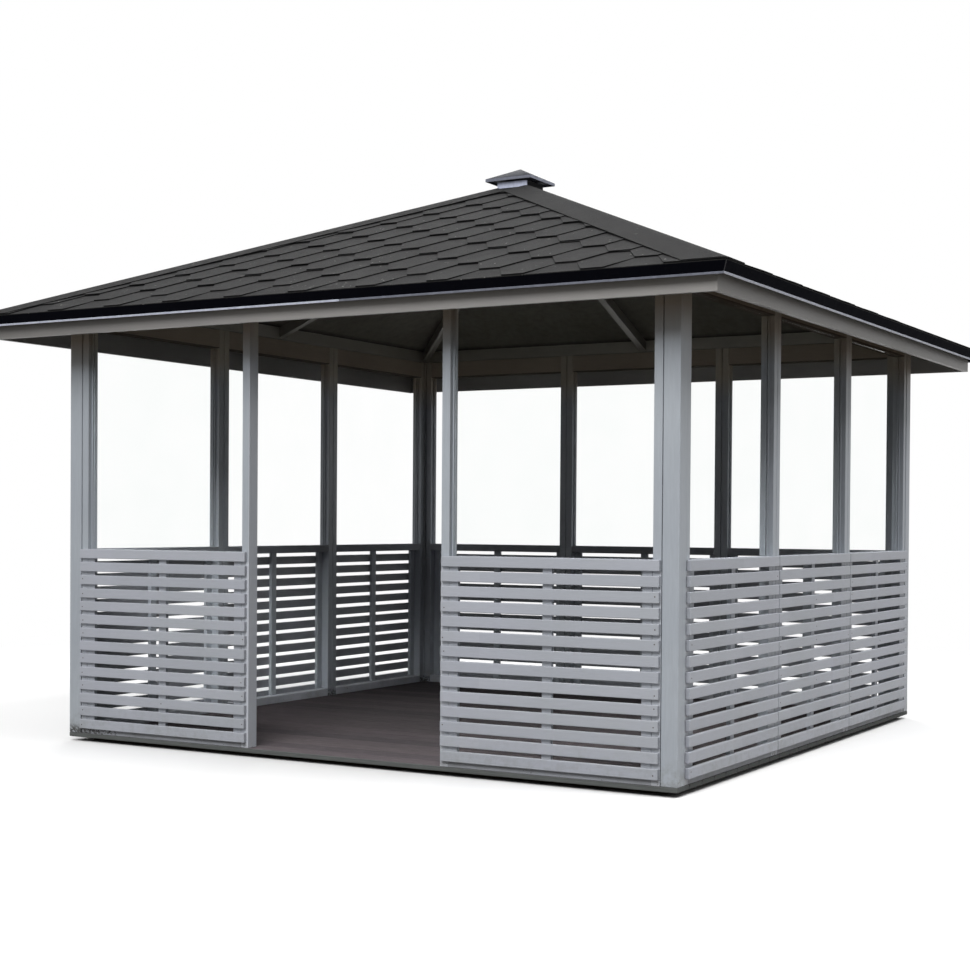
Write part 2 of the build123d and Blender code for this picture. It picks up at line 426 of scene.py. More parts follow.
def walls_wear_and_painted_light(n, base, soffit):
    """Marks on the walls' paint: bare wood at wet feet, with painted shade inside, under the eave
    and under the head rails, and painted light behind the slats and on the doorway's stud.
    """
    x, height, out = n.part("X"), n.part("Z"), n.plan("MAXIMUM")
    # Painted shade: the inner faces are darkened below the eave.
    inner = n.mask((out, FRAME_INNER + 0.004, FRAME_INNER + 0.001), (height, 1.86, 1.74))
    base = n.stain(base, inner, 0.28, (0.03, 0.03, 0.03))
    # Painted light: the outer faces of studs and battens behind the slats, in the slats' shade,
    # are made paler.
    covered = n.mask(
        (out, FRAME_OUTER - 0.0012, FRAME_OUTER - 0.0005),
        (out, FRAME_OUTER + 0.0023, FRAME_OUTER + 0.0015),
        (height, PARAPET_TOP - 0.04, PARAPET_TOP - 0.05),
    )
    base = n.stain(base, covered, 0.5, (0.78, 0.80, 0.86))
    # Painted light: the side of the stud left of the doorway that faces the doorway is made paler
    # below 1.5 m.
    door_stud = BAY_WIDTH / 2
    reveal = n.mask(
        (x, -door_stud - 0.0038, -door_stud - 0.0028),
        (x, -door_stud + 0.0002, -door_stud - 0.0003),
        (n.part("Y"), 0.02 - FRAME_INNER, 0.01 - FRAME_INNER),
        (height, 1.9, 1.5),
    )
    base = n.stain(base, reveal, 0.6, (0.80, 0.83, 0.90))
    flakes = n.noise(60.0, 6.0, 0.72, (1.0, 1.0, 1.6))
    flakes = n.math("ADD", flakes, n.times(n.step(x, -1.15, -1.40), 0.14))
    bare = n.mask((height, 0.085, 0.058), (flakes, 0.60, 0.63))
    base = n.stain(base, bare, 0.9, (0.026, 0.025, 0.023))
    # Painted shade: a brown tint darkens the walls from 1.72 m up, fully above 1.87 m, under the
    # eave.
    eave_shade_tint = n.mix(n.step(out, 1.49, 1.535), (0.88, 0.73, 0.54), (0.74, 0.58, 0.43))
    base = n.mix(n.step(height, 1.72, 1.87), base, n.mix(1.0, base, eave_shade_tint, "MULTIPLY"))
    if soffit:
        # Painted shade: a near-black band darkens the head rails' undersides, between 1.85 m and
        # 1.93 m.
        under = n.mask((height, 1.936, 1.9325), (height, 1.8, 1.85))
        base = n.stain(base, under, 0.7, (0.012, 0.012, 0.009))
        n.feed(n.shader, "Specular IOR Level", 0.0)
    return base


def painted_timber(name, colour, grain, tone_scale, place):
    """Worn paint on the timber of a wall, rail, fascia or roof, with painted light and shade on
    the walls, rails and fascia.
    """
    n = Nodes(name)
    fine = n.noise(14.0, 6.0, 0.6, grain)
    broad = n.noise(tone_scale, 3.0, 0.5)
    speck = n.noise(90.0, 2.0, 0.5)
    base = n.grained(fine, colour, 0.95, 1.04)
    base = n.tint(base, broad, (0.35, (0.93, 0.93, 0.94)), (0.65, (1.04, 1.04, 1.03)))
    dirt = n.mask((n.part("Z"), 0.16, 0.03), (n.noise(22.0, 5.0, 0.7), 0.42, 0.62))
    base = n.stain(base, dirt, 0.55, (0.16, 0.155, 0.135))
    base = n.stain(base, n.step(speck, 0.70, 0.76), 0.25, (0.24, 0.23, 0.20))
    if place in ("wall", "rail"):
        base = walls_wear_and_painted_light(n, base, place == "rail")
    if place == "fascia":
        # Painted shade: the fascia darkens towards the left end of the front and along the right
        # side towards the back.
        left = n.step(n.part("X"), -0.3, -1.9)
        right = n.times(n.step(n.part("X"), 1.70, 1.75), 0.45, n.step(n.part("Y"), -1.9, 0.9))
        base = n.stain(base, n.math("MAXIMUM", left, right), 0.48, (0.04, 0.038, 0.032))
    normal = n.bump(speck, 0.12, 0.0006, n.bump(fine, 0.25, 0.0012))
    return n.finish(base, n.step(broad, 0.2, 1.6, 0.42, 0.62), normal)


def peeling_paint(name, colour):
    """Bottom rails: paint that has flaked to dark wood near the wet front left corner."""
    n = Nodes(name)
    grain = n.noise(14.0, 6.0, 0.6, (1.0, 1.0, 12.0))
    base = n.grained(grain, colour, 0.94, 1.04)
    flakes = n.noise(55.0, 6.0, 0.72, (1.0, 1.0, 1.6))
    corner = n.mask((n.part("X"), -1.12, -1.40), (n.part("Y"), -1.40, -1.45))
    bare = n.step(n.math("ADD", flakes, n.times(corner, 0.17)), 0.635, 0.665)
    wood = n.ramp(grain, (0.3, (0.014, 0.013, 0.012)), (0.7, (0.045, 0.042, 0.037)))
    base = n.stain(base, bare, 0.85, wood)
    grime = n.step(n.noise(9.0, 4.0, 0.65), 0.42, 0.7)
    base = n.stain(base, grime, 0.35, (0.17, 0.165, 0.145))
    return n.finish(base, 0.6, n.bump(bare, 0.3, 0.0008))


def woven_wire(name):
    """Dark insect mesh behind the openings of the vent."""
    n = Nodes(name)
    wires = {"Color1": (0.004, 0.004, 0.005, 1.0), "Color2": (0.02, 0.022, 0.026, 1.0)}
    weave = n.put("ShaderNodeTexChecker", {"Vector": n.coords, "Scale": 420.0, **wires})
    return n.finish(weave.outputs["Color"], 0.7, Specular_IOR_Level=0.15)


def slat_paint(name, colour, pitch):
    """Painted slats: each with its own tone, worn spots, grime near the ground, and painted shade
    on their back faces.
    """
    n = Nodes(name)
    grain = n.noise(12.0, 6.0, 0.6, (2.0, 2.0, 30.0))
    row = n.count(n.part("Z"), SLAT_LOW, pitch)
    run = n.math("ADD", n.part("X"), n.times(n.part("Y"), 1.7))
    seed = n.math("ADD", row, n.times(n.count(run, 0.0, TONE_RUN), 37.0))
    base = n.grained(grain, colour, 0.96, 1.04)
    base = n.tint(base, n.toss(seed), (0.0, (0.94, 0.945, 0.95)), (1.0, 1.03))
    broad = n.noise(2.4, 3.0, 0.5)
    base = n.tint(base, broad, (0.35, (0.965, 0.97, 0.955)), (0.65, (1.02, 1.015, 1.03)))
    grime = n.mask((n.part("Z"), 0.22, 0.05), (n.noise(26.0, 5.0, 0.7), 0.48, 0.64))
    base = n.stain(base, grime, 0.22, (0.17, 0.165, 0.14))
    # Painted shade: the slats' back faces, facing inside, are darkened.
    back = n.step(n.plan("MAXIMUM"), FRAME_OUTER + 0.0025, FRAME_OUTER + 0.0005)
    base = n.stain(base, back, 0.42, (0.04, 0.042, 0.04))
    flake = n.step(n.noise(48.0, 4.0, 0.6, (1.0, 1.0, 3.0)), 0.71, 0.735)
    base = n.stain(base, flake, 0.35, (0.25, 0.24, 0.22))
    return n.finish(base, 0.5, n.bump(grain, 0.25, 0.001))


def weathered_boards(name, colour, pitch):
    """Deck boards along X: own tone and open grain each, painted light at the front and painted
    shade inwards, green at the rim.
    """
    n = Nodes(name)
    grain = n.noise(9.0, 8.0, 0.65, (1.2, 26.0, 26.0), 0.3)
    base = n.ramp(grain, (0.25, shade(colour, 0.45)), (0.5, colour), (0.78, shade(colour, 1.55)))
    toss = n.toss(n.count(n.part("Y"), -PLAN_HALF, pitch))
    base = n.tint(base, toss, (0.0, (0.78, 0.78, 0.79)), (1.0, (1.15, 1.12, 1.1)))
    # Painted light and shade: the boards are lighter near the front edge and darker towards the
    # back.
    wear_and_shade = ((0.0, 1.36), (0.18, 0.98), (0.4, 0.70), (0.65, 0.56), (1.0, 0.48))
    inward_shade = n.step(n.part("Y"), -1.55, 0.9)
    base = n.tint(base, inward_shade, *wear_and_shade)
    green = n.step(n.noise(6.0, 5.0, 0.6, (0.5, 9.0, 9.0)), 0.55, 0.75)
    base = n.stain(base, green, 0.3, (0.09, 0.1, 0.075))
    rim = n.step(n.plan("MAXIMUM"), PLAN_HALF - 0.0035, PLAN_HALF - 0.0010)
    algae = n.ramp(grain, (0.3, (0.108, 0.116, 0.114)), (0.7, (0.17, 0.18, 0.176)))
    base = n.mix(rim, base, algae)
    return n.finish(base, 0.9, n.bump(grain, 0.5, 0.002), Specular_IOR_Level=0.08)


def mineral_felt(name, colour):
    """Dark grey mineral granules with pale flecks, lichen and tonal patches."""
    n = Nodes(name)
    grit = n.noise(420.0, 2.0, 0.5)
    blotch = n.noise(5.5, 5.0, 0.6)
    base = n.ramp(grit, (0.3, shade(colour, 0.62)), (0.52, colour), (0.72, shade(colour, 1.5)))
    base = n.tint(base, blotch, (0.3, 0.86), (0.7, (1.13, 1.13, 1.12)))
    broad = n.noise(1.3, 3.0, 0.5)
    base = n.tint(base, broad, (0.35, (0.94, 0.93, 0.93)), (0.65, 1.07))
    lichen = n.mask((n.noise(62.0, 4.0, 0.7), 0.60, 0.64), (n.noise(7.0, 3.0, 0.6), 0.60, 0.68))
    base = n.stain(base, lichen, 0.7, (0.26, 0.26, 0.24))
    from_hip = n.math("ABSOLUTE", n.plan("SUBTRACT"))
    darker = n.mix(1.0, base, (0.87, 0.87, 0.87), "MULTIPLY")
    base = n.mix(n.step(from_hip, 0.185, 0.18), base, darker)
    cells = n.put("ShaderNodeTexVoronoi", {"Vector": n.coords, "Scale": 30.0}).outputs
    ragged = n.times(n.math("SUBTRACT", n.noise(260.0, 2.0, 0.6), 0.5), 0.22)
    dots = n.step(n.math("ADD", cells["Distance"], ragged), 0.12, 0.08)
    chosen = n.step(n.part("X", cells["Color"]), 0.64, 0.66)
    crowd = n.mask((n.noise(2.6, 3.0, 0.6), 0.40, 0.56), (from_hip, 0.16, 0.20))
    base = n.stain(base, n.times(dots, chosen, crowd), 0.85, (0.32, 0.32, 0.30))
    normal = n.bump(blotch, 0.3, 0.004, n.bump(grit, 0.6, 0.0012))
    return n.finish(base, 0.9, normal, Specular_IOR_Level=0.13)


def cut_felt(name):
    """The black cut edge of a shingle."""
    n = Nodes(name)
    grit = n.noise(260.0, 3.0, 0.6)
    base = n.ramp(grit, (0.3, (0.0025, 0.0025, 0.003)), (0.75, 0.008))
    return n.finish(base, 0.85, n.bump(grit, 0.4, 0.001), Specular_IOR_Level=0.1)


def sheet_metal(name, colour, rough, metallic, dirt, gloss, worn_corner=False):
    """Sheet metal with dull streaks, a little dirt and, if asked, bare mitred corners."""
    n = Nodes(name)
    streak = n.noise(8.0, 5.0, 0.6, (6.0, 6.0, 1.2))
    mottle = n.noise(34.0, 4.0, 0.6)
    base = n.grained(streak, colour, 0.82, 1.12)
    base = n.tint(base, mottle, (0.35, 0.9), (0.65, 1.06))
    base = n.stain(base, n.step(n.noise(60.0, 4.0, 0.7), 0.60, 0.72), dirt, (0.09, 0.085, 0.07))
    if worn_corner:
        bare = n.step(n.math("ABSOLUTE", n.plan("SUBTRACT")), 0.004, 0.002)
        base = n.stain(base, bare, 0.8, (0.07, 0.07, 0.075))
    wear_and_shade = n.math("ADD", n.times(mottle, 0.25), rough - 0.12)
    normal = n.bump(n.noise(5.0, 2.0, 0.5), 0.15, 0.004)
    return n.finish(base, wear_and_shade, normal, Metallic=metallic, Specular_IOR_Level=gloss)


def ceiling_stain(name, colour):
    """Dark boarding, its dark colour painted shade: soft grain, damp patches and a painted shadow
    along the edges over the posts.
    """
    n = Nodes(name)
    grain = n.noise(3.0, 6.0, 0.6, (9.0, 9.0, 9.0))
    base = n.grained(grain, colour, 0.85, 1.15)
    damp = n.noise(1.8, 4.0, 0.6)
    base = n.tint(base, damp, (0.35, (0.85, 0.85, 0.82)), (0.65, 1.1))
    out = n.plan("MAXIMUM")
    # Painted shadow: a dark strip along the edges over the posts, where the boarding meets the
    # wall plate.
    edge = n.mask((out, POST_LINE - 0.040, POST_LINE - 0.005), (out, 1.50, 1.48))
    base = n.stain(base, edge, 0.75, (0.016, 0.013, 0.010))
    return n.finish(base, 0.8, n.bump(grain, 0.2, 0.001), Specular_IOR_Level=0.1)


def clear_glass(name):
    """Clear window glass that lets light through, with a faint film of dust."""
    n = Nodes(name)
    film = n.noise(3.0, 4.0, 0.6)
    tint = n.ramp(film, (0.3, (0.975, 0.985, 0.98)), (0.7, (0.995, 0.998, 0.996)))
    n.finish(tint, 0.0, IOR=1.005, Transmission_Weight=1.0)
    clear = n.put("ShaderNodeBsdfTransparent", {"Color": tint})
    shadow = n.put("ShaderNodeLightPath").outputs["Is Shadow Ray"]
    n.show(n.blend(shadow, n.shader, clear))
    return n.material


def slat_rows(wall):
    """Height of a slat and the pitch from one slat to the next."""
    field = PARAPET_TOP - SLAT_LOW
    height = (field - (wall.slat_count - 1) * wall.slat_gap) / wall.slat_count
    return height, height + wall.slat_gap


def finish_table():
    """The maker and the settings of every finish."""
    look = bpy.context.scene.gazebo_colours
    wall = bpy.context.scene.gazebo_walls
    paint, metal, ceiling = (tuple(part) for part in (look.paint, look.bare_metal, look.ceiling))
    upright = (paint[0] * 0.93, paint[1] * 0.965, paint[2] * 0.96)
    level = (0.9, 0.9, 9.0)
    return {
        "upright_paint": (painted_timber, upright, (9.0, 9.0, 0.8), 1.7, "wall"),
        "rail_paint": (painted_timber, shade(paint, 0.97), level, 2.1, "rail"),
        "slat_paint": (slat_paint, paint, slat_rows(wall)[1]),
        "peeling_paint": (peeling_paint, shade(paint, 0.95)),
        "fascia_paint": (painted_timber, tuple(look.fascia), (0.8, 0.8, 9.0), 2.6, "fascia"),
        # Painted shade: the rafters and the wall plate are lighter copies of the dark ceiling
        # colour.
        "rafter_paint": (painted_timber, shade(ceiling, 1.25), (3.0, 3.0, 3.0), 2.6, "roof"),
        "plate_paint": (painted_timber, shade(ceiling, 1.9), level, 2.6, "roof"),
        "ceiling_stain": (ceiling_stain, ceiling),
        "deck_timber": (weathered_boards, shade(look.deck, 1.34), wall.board_width),
        "bearer_timber": (weathered_boards, (0.10, 0.085, 0.065), 0.4),
        "mineral_felt": (mineral_felt, tuple(look.shingle)),
        "cut_felt": (cut_felt,),
        "black_sheet": (sheet_metal, tuple(look.flashing), 0.8, 0.0, 0.03, 0.02, True),
        "bare_sheet": (sheet_metal, metal, 0.5, 0.25, 0.2, 0.3),
        # Lit and shaded copies of one hood sheet: painted shade on the slopes, painted light on
        # the band and flanks.
        "hood_sheet": (sheet_metal, shade(metal, 0.18), 0.6, 0.1, 0.1, 0.1),
        "hood_band": (sheet_metal, shade(metal, 1.05), 0.5, 0.1, 0.1, 0.3),
        "hood_flank": (sheet_metal, shade(metal, 1.35), 0.6, 0.1, 0.6, 0.3),
        "pale_sheet": (sheet_metal, shade(metal, 3.0), 0.35, 1.0, 0.1, 0.5),
        # Painted highlight: a much paler copy of the hem metal, for the brighter hem lengths.
        "hem_metal": (sheet_metal, shade(metal, 1.3), 0.45, 0.1, 0.1, 0.3),
        "bright_hem": (sheet_metal, shade(metal, 4.6), 0.4, 0.0, 0.05, 0.4),
        "nail_rust": (sheet_metal, (0.07, 0.05, 0.04), 0.7, 0.3, 0.4, 0.5),
        "vent_mesh": (woven_wire,),
        "clear_glass": (clear_glass,),
    }


MADE = {}


def finish_of(name):
    """A finish by name, made once."""
    if name not in MADE:
        maker, *settings = finish_table()[name]
        MADE[name] = maker(name, *settings)
    return MADE[name]


def built_bays():
    """Every bay with a frame: its side, number, name and two edges along the wall."""
    for side in range(4):
        for bay in range(BAYS):
            left = -POST_LINE + bay * BAY_WIDTH
            if side or bay != DOOR_BAY:
                yield side, bay, BAY_NAMES[side][bay], left, left + BAY_WIDTH


def slat_reveals(side, bay):
    """How far a bay's slats stop short of its left and right edges."""
    for corner, by_door in ((0, DOOR_BAY + 1), (BAYS - 1, DOOR_BAY - 1)):
        if side == 0 and bay == by_door:
            yield DOOR_REVEAL
        else:
            yield CORNER_REVEAL if bay == corner else BAY_REVEAL


class GAZEBO_OT_posts(bpy.types.Operator):
    """Eases the edges of the corner posts"""

    bl_idname = "gazebo.posts"
    bl_label = "Corner posts"

    def execute(self, context):
        wall = context.scene.gazebo_walls
        for corner in CORNERS:
            node = "corner_post_" + corner
            bm = bmesh.new()
            block(bm, *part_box(node), wall.arris * 1.5)
            piece("post_" + corner, bm, ["upright_paint"], (node,))
        return {"FINISHED"}


class GAZEBO_OT_bay_frames(bpy.types.Operator):
    """Builds each bay frame from its studs and rails"""

    bl_idname = "gazebo.bay_frames"
    bl_label = "Bay frames"

    def execute(self, context):
        wall = context.scene.gazebo_walls
        y0, y1 = -FRAME_OUTER, -FRAME_INNER
        stud = wall.stud_face
        finishes = ["upright_paint", "rail_paint", "peeling_paint"]
        rails = (
            (DECK_TOP, DECK_TOP + wall.rail_low, "peeling_paint"),
            (PARAPET_TOP - wall.rail_sill, PARAPET_TOP, "rail_paint"),
            (PLATE_BOTTOM - wall.rail_head, PLATE_BOTTOM - wall.joint, "rail_paint"),
        )
        for side, bay, name, left, right in built_bays():
            gap_left = wall.joint * (2 if bay == 0 else 1)
            gap_right = wall.joint * (2 if bay == BAYS - 1 else 1)
            bm = bmesh.new()
            for x0, x1 in ((left + gap_left, left + stud), (right - stud, right - gap_right)):
                block(bm, (x0, y0, DECK_TOP), (x1, y1, PLATE_BOTTOM), wall.arris)
            for z0, z1, finish in rails:
                low, high = (left + stud, y0, z0), (right - stud, y1, z1)
                block(bm, low, high, wall.arris, finishes.index(finish))
            turn_to(bm, side)
            piece("timbers_" + name, bm, finishes, ("bay_frame_" + name,))
        return {"FINISHED"}


def lay_battens(bm, left, right, wall):
    """The uprights behind a bay's slats, in the second finish."""
    width = wall.batten_width
    low, high = DECK_TOP + wall.rail_low, PARAPET_TOP - wall.rail_sill
    y0, y1 = -FRAME_OUTER, -FRAME_OUTER + wall.batten_thickness
    middle = (left + right) / 2 - width / 2
    for x0 in (left + wall.stud_face, middle, right - wall.stud_face - width):
        x0, x1 = x0 + BATTEN_PLAY, x0 + width - BATTEN_PLAY
        block(bm, (x0, y0, low), (x1, y1, high), SMALL_ARRIS, 1)


def lay_slats(bm, left, right, reveals, wall, dice):
    """The slats of a bay, each cut and nailed a little out of true."""
    height, pitch = slat_rows(wall)
    reveal_left, reveal_right = reveals
    for row in range(wall.slat_count):
        free = 0 < row < wall.slat_count - 1
        z0 = PARAPET_TOP - height - row * pitch
        wobble = dice.uniform(-SLAT_WOBBLE, SLAT_WOBBLE) if free else 0.0
        x0 = left + reveal_left + dice.uniform(0.0, SLAT_TRIM)
        x1 = right - reveal_right - dice.uniform(0.0, SLAT_TRIM)
        low = (x0, -SLAT_FACE, z0 + wobble)
        high = (x1, -FRAME_OUTER, z0 + height + wobble)
        verts = block(bm, low, high, SLAT_ARRIS)
        if free:
            lean = Matrix.Rotation(dice.uniform(-SLAT_LEAN, SLAT_LEAN), 3, "Y")
            centre = ((left + right) / 2, 0.0, z0)
            bmesh.ops.rotate(bm, cent=centre, matrix=lean, verts=verts)


class GAZEBO_OT_slats(bpy.types.Operator):
    """Nails the slats on their battens"""

    bl_idname = "gazebo.slats"
    bl_label = "Slatted parapets"

    def execute(self, context):
        wall = context.scene.gazebo_walls
        dice = random.Random(SLAT_SEED)
        screens = {}
        for side, bay, name, left, right in built_bays():
            node = "slat_screen_" + (name if side == 0 else SIDES[side])
            if node not in screens:
                screens[node] = (side, bmesh.new())
            bm = screens[node][1]
            lay_battens(bm, left, right, wall)
            lay_slats(bm, left, right, slat_reveals(side, bay), wall, dice)
        for node, (side, bm) in screens.items():
            turn_to(bm, side)
            name = node.replace("slat_screen", "slats")
            piece(name, bm, ["slat_paint", "upright_paint"], (node,))
        return {"FINISHED"}


def nail_spots(left, right, wall, dice):
    """Where a bay's nails show: some of those at the ends, few in the middle."""
    height, pitch = slat_rows(wall)
    found = []
    for row in range(wall.slat_count):
        z = PARAPET_TOP - height / 2 - row * pitch
        for x in (left + NAIL_INSET, right - NAIL_INSET):
            if dice.random() < NAIL_SHARE:
                x += dice.uniform(-NAIL_STRAY_X, NAIL_STRAY_X)
                found.append((x, z + dice.uniform(-NAIL_STRAY_Z, NAIL_STRAY_Z)))
        if dice.random() < MIDDLE_SHARE:
            x = (left + right) / 2 + dice.uniform(-MIDDLE_STRAY, MIDDLE_STRAY)
            found.append((x, z))
    return found


class GAZEBO_OT_nails(bpy.types.Operator):
    """Sets the nail heads that show at the slats' ends"""

    bl_idname = "gazebo.nails"
    bl_label = "Slat nails"

    def execute(self, context):
        wall = context.scene.gazebo_walls
        dice = random.Random(NAIL_SEED)
        upright = Matrix.Rotation(math.radians(90), 4, "X")
        bm = bmesh.new()
        for side, bay, name, left, right in built_bays():
            for x, z in nail_spots(left, right, wall, dice):
                place = Matrix.Translation((x, -SLAT_FACE + NAIL_PROUD, z)) @ upright
                bmesh.ops.create_cone(
                    bm,
                    cap_ends=True,
                    cap_tris=False,
                    segments=10,
                    radius1=NAIL_FOOT,
                    radius2=NAIL_HEAD,
                    depth=NAIL_DEPTH,
                    matrix=side_turn(side) @ place,
                )
        piece("slat_nails", bm, ["nail_rust"])
        return {"FINISHED"}


class GAZEBO_OT_beads(bpy.types.Operator):
    """Runs the glazing beads beside each pane"""

    bl_idname = "gazebo.beads"
    bl_label = "Glazing beads"

    def execute(self, context):
        wall = context.scene.gazebo_walls
        outer, inner = GLASS_BOX[0][1], GLASS_BOX[1][1]
        size = wall.bead
        high = PLATE_BOTTOM - wall.rail_head
        bm = bmesh.new()
        for side, bay, name, left, right in built_bays():
            start = len(bm.verts)
            for y0, y1 in ((outer - size, outer), (inner, inner + size)):
                for x0 in (left + wall.stud_face, right - wall.stud_face - size):
                    block(bm, (x0, y0, PARAPET_TOP), (x0 + size, y1, high), SMALL_ARRIS)
            turn_to(bm, side, start)
        piece("glazing_beads", bm, ["upright_paint"])
        return {"FINISHED"}


class GAZEBO_OT_deck(bpy.types.Operator):
    """Lays the deck boards along the front"""

    bl_idname = "gazebo.deck"
    bl_label = "Deck boards"

    def execute(self, context):
        wall = context.scene.gazebo_walls
        low, high = DECK_BOX
        boards = round((high[1] - low[1]) / wall.board_width)
        pitch = (high[1] - low[1] + wall.board_gap) / boards
        bm = bmesh.new()
        for board in range(boards):
            y0 = low[1] + board * pitch
            y1 = y0 + pitch - wall.board_gap
            block(bm, (low[0], y0, low[2]), (high[0], y1, high[2]), BOARD_ARRIS)
        piece("deck_boards", bm, ["deck_timber"], ("floor_deck",))
        return {"FINISHED"}


def slope_matrix():
    """From slope coordinates (across, down from the apex, lift) to the front slope."""
    down = Vector((0, -math.cos(PITCH), -math.sin(PITCH)))
    lift = Vector((0, -math.sin(PITCH), math.cos(PITCH)))
    turn = Matrix((Vector((1, 0, 0)), down, lift)).transposed().to_4x4()
    return Matrix.Translation((0, 0, ROOF_APEX)) @ turn


def cut_at(bm, point, normal):
    """Cuts a closed mesh by a plane, keeps the side behind it and closes the cut."""
    geometry = bm.verts[:] + bm.edges[:] + bm.faces[:]
    cut = bmesh.ops.bisect_plane(
        bm, geom=geometry, dist=1e-6, plane_co=point, plane_no=normal, clear_outer=True
    )
    edges = [item for item in cut["geom_cut"] if isinstance(item, bmesh.types.BMEdge)]
    edges = [edge for edge in edges if edge.is_boundary]
    if edges:
        filled = bmesh.ops.holes_fill(bm, edges=edges, sides=0)
        for face in filled["faces"]:
            face.material_index = 1


def cut_at_hips(bm, gap):
    """Trims what lies on the front slope along its two hips."""
    for way in (1, -1):
        cut_at(bm, (0, -gap, 0), (way * DIAGONAL, DIAGONAL, 0))


def shingle_strip(roof):
    """One shingle strip as a mesh: tabs with slanted sides, in slope coordinates."""
    pitch = roof.tab_pitch
    drop = roof.exposure
    back = 2 * drop + HEAD_LAP
    half_bottom = roof.tab_bottom / 2
    half_notch = pitch / 2 - half_bottom
    right_half = (
        (half_bottom, 0.0),
        (half_notch, -drop),
        (pitch / 2, -drop),
        (pitch / 2, -back),
    )
    bm = bmesh.new()
    for tab in range(STRIP_TABS):
        middle = tab * pitch
        outline = [(middle - half_bottom, 0.0)]
        outline += [(middle + x, y) for x, y in right_half]
        outline += [(middle - x, y) for x, y in reversed(right_half[1:])]
        bm.faces.new([bm.verts.new((x, y, 0.0)) for x, y in outline])
    bmesh.ops.remove_doubles(bm, verts=bm.verts, dist=1e-5)
    inner = [edge for edge in bm.edges if len(edge.link_faces) == 2]
    bmesh.ops.dissolve_edges(bm, edges=inner, use_verts=False)
    bmesh.ops.recalc_face_normals(bm, faces=bm.faces)
    for face in bm.faces:
        if face.normal.z < 0:
            face.normal_flip()
    raised = bmesh.ops.extrude_face_region(bm, geom=bm.faces[:])
    moved = [item for item in raised["geom"] if isinstance(item, bmesh.types.BMVert)]
    bmesh.ops.translate(bm, vec=(0, 0, roof.felt), verts=moved)
    bmesh.ops.recalc_face_normals(bm, faces=bm.faces)
    for face in bm.faces:
        if abs(face.normal.z) < 0.5:
            face.material_index = 1
    return mesh_of("strip", bm)


def lay_courses(bm, side, roof, strip):
    """The strips of one slope from the eave up, each laid a little out of true."""
    dice = random.Random(SHINGLE_SEED + side)
    side_shift = dice.uniform(-SIDE_SHIFT, SIDE_SHIFT) if side else 0.0
    step = STRIP_TABS * roof.tab_pitch
    tilt = Matrix.Rotation(math.atan(roof.felt / roof.exposure), 4, "X")
    seat = tilt @ Matrix.Translation((0, 0, -roof.felt))
    for course in range(int(SLOPE_LENGTH / roof.exposure) + 1):
        bottom = SLOPE_LENGTH - course * roof.exposure
        reach = bottom * math.cos(PITCH) + roof.tab_pitch
        phase = roof.first_tab + side_shift + (roof.tab_pitch / 2 if course % 2 else 0.0)
        shift = phase + roof.tab_pitch * ((course * 7 + side * 2) % STRIP_TABS)
        first = math.floor((-reach - shift) / step)
        last = math.ceil((reach - shift) / step)
        for place in range(first, last + 1):
            start = len(bm.verts)
            bm.from_mesh(strip)
            bm.verts.ensure_lookup_table()
            lift = dice.uniform(*TAB_RISE)
            spin = Matrix.Rotation(dice.uniform(-TAB_SPIN, TAB_SPIN), 4, "Z")
            slide = dice.uniform(-TAB_SLIDE, TAB_SLIDE) if course else EAVE_SLIDE
            spot = Matrix.Translation((shift + place * step, bottom + slide, lift + TAB_LIFT))
            bmesh.ops.transform(bm, matrix=spot @ spin @ seat, verts=bm.verts[start:])


class GAZEBO_OT_shingles(bpy.types.Operator):
    """Lays the hexagonal shingles course by course"""

    bl_idname = "gazebo.shingles"
    bl_label = "Shingles"

    def execute(self, context):
        roof = context.scene.gazebo_roof
        strip = shingle_strip(roof)
        for side in range(4):
            bm = bmesh.new()
            starter = SLOPE_LENGTH - roof.exposure - STARTER_LAP
            low = (-HALF_EAVE, starter, STARTER_LOW)
            block(bm, low, (HALF_EAVE, SLOPE_LENGTH, STARTER_LOW + roof.felt))
            lay_courses(bm, side, roof, strip)
            bmesh.ops.transform(bm, matrix=slope_matrix(), verts=bm.verts)
            cut_at_hips(bm, ROOF_TRIM)
            cut_at(bm, (0, VENT_TUCK - COLLAR_BOX[1][0], 0), (0, 1, 0))
            cut_at(bm, (0, -HALF_EAVE, 0), (0, -1, 0))
            turn_to(bm, side)
            name, covered = "shingle_courses_" + SIDES[side], "shingles_" + SIDES[side]
            piece(name, bm, ["mineral_felt", "cut_felt"], (covered,))
        bpy.data.meshes.remove(strip)
        return {"FINISHED"}


